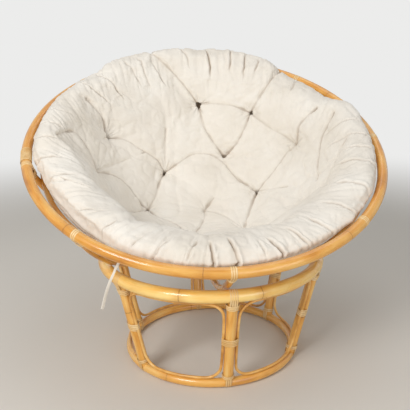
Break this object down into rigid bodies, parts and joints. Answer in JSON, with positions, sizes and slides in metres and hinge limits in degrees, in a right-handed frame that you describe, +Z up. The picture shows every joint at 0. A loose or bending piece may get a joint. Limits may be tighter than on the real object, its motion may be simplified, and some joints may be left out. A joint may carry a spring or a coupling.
{
  "type": "papasan chair",
  "caption": "Round lounge chair: a shallow rattan bowl with a tufted cushion leans in a drum-shaped rattan stand and tilts in its top ring.",
  "frame": {"origin": "on the floor, under the middle of the whole chair and under the centre of the tilted bowl's rim", "axes": "+Z up, -Y the way a sitter looks, +X to the sitter's left"},
  "size_m": [1.1376, 1.0276, 0.9389],
  "materials": {
    "rattan_pole": "clear-lacquered rattan pole, honey coloured",
    "rattan_pole_pale": "clear-lacquered rattan pole, pale honey",
    "cane_binding": "flat split cane, cream, satin",
    "cotton_cushion": "natural cotton canvas, matte",
    "cotton_tie": "soft cotton cord, matte"
  },
  "bodies": {
    "stand": {"stand_top_ring": "rattan_pole_pale", "stand_bottom_ring": "rattan_pole", "stand_post_1": "rattan_pole", "stand_post_2": "rattan_pole", "stand_post_3": "rattan_pole", "stand_post_4": "rattan_pole", "stand_post_5": "rattan_pole", "stand_post_6": "rattan_pole", "stand_loop_1": "rattan_pole_pale", "stand_loop_2": "rattan_pole_pale", "stand_loop_3": "rattan_pole_pale", "stand_loop_4": "rattan_pole_pale", "stand_loop_5": "rattan_pole_pale", "stand_loop_6": "rattan_pole_pale", "stand_top_binding_1": "cane_binding", "stand_top_binding_2": "cane_binding", "stand_top_binding_3": "cane_binding", "stand_top_binding_4": "cane_binding", "stand_top_binding_5": "cane_binding", "stand_top_binding_6": "cane_binding", "stand_middle_binding_1": "cane_binding", "stand_middle_binding_2": "cane_binding", "stand_middle_binding_3": "cane_binding", "stand_middle_binding_4": "cane_binding", "stand_middle_binding_5": "cane_binding", "stand_middle_binding_6": "cane_binding", "stand_foot_binding_1": "cane_binding", "stand_foot_binding_2": "cane_binding", "stand_foot_binding_3": "cane_binding", "stand_foot_binding_4": "cane_binding", "stand_foot_binding_5": "cane_binding", "stand_foot_binding_6": "cane_binding"},
    "bowl": {"bowl_rim": "rattan_pole", "bowl_second_ring": "rattan_pole", "bowl_inner_ring": "rattan_pole", "bowl_hub_ring": "rattan_pole", "bowl_rib_1": "rattan_pole", "bowl_rib_2": "rattan_pole", "bowl_rib_3": "rattan_pole", "bowl_rib_4": "rattan_pole", "bowl_rib_5": "rattan_pole", "bowl_rib_6": "rattan_pole", "bowl_rib_7": "rattan_pole", "bowl_rib_8": "rattan_pole", "bowl_rim_binding_1": "cane_binding", "bowl_rim_binding_2": "cane_binding", "bowl_rim_binding_3": "cane_binding", "bowl_rim_binding_4": "cane_binding", "bowl_rim_binding_5": "cane_binding", "bowl_rim_binding_6": "cane_binding", "bowl_rim_binding_7": "cane_binding", "bowl_rim_binding_8": "cane_binding", "bowl_rim_scarf_binding": "cane_binding"},
    "cushion": {"cushion": "cotton_cushion", "cushion_tie": "cotton_tie"}
  },
  "joints": [
    {"name": "bowl_tilt", "type": "hinge", "parent": "stand", "child": "bowl", "pos_m": [0, -0.09027, 0.83375], "axis": [1, 0, 0], "range_deg": [-56, 4.5]},
    {"name": "cushion_lift", "type": "slide", "parent": "bowl", "child": "cushion", "axis": [0, -0.4352, 0.9003], "range_m": [0, 0.4], "deforming": ["cushion_tie"]}
  ]
}
